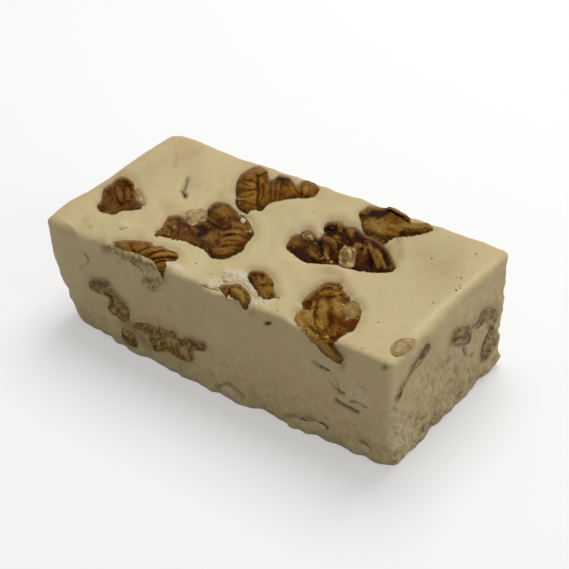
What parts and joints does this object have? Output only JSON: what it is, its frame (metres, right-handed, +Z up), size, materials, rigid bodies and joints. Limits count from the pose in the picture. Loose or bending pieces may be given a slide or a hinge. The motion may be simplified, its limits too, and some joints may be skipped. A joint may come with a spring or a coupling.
{
  "type": "walnut fudge",
  "caption": "Bar of pale cream fudge with pieces of walnut sunk into its top and showing at its front and end.",
  "frame": {"origin": "middle of the bar's flat base, on the surface it rests on", "axes": "+X along the bar's long side, to the right in the picture; +Y to the back, so the long front side is at -Y; +Z up"},
  "size_m": [0.1162, 0.054, 0.0379],
  "materials": {
    "fudge_cream": "soft waxy, slightly sheened",
    "walnut_brown": "oily satin skin",
    "walnut_veiled": "satin, under a thin film of fudge"
  },
  "bodies": {
    "root": {"fudge": "fudge_cream", "nut_left": "walnut_brown", "nut_middle": "walnut_brown", "nut_back": "walnut_brown", "nut_cluster": "walnut_brown", "nut_back_right": "walnut_brown", "nut_front_left": "walnut_brown", "nut_bit_right": "walnut_brown", "nut_bit_edge": "walnut_brown", "nut_front_right": "walnut_brown", "nut_front_hook": "walnut_veiled", "nut_front_low": "walnut_veiled", "nut_front_band": "walnut_veiled", "nut_front_base": "walnut_veiled", "nut_end_middle": "walnut_veiled", "nut_end_high": "walnut_veiled", "nut_end_edge": "walnut_veiled", "nut_end_skin": "walnut_veiled"}
  },
  "joints": []
}
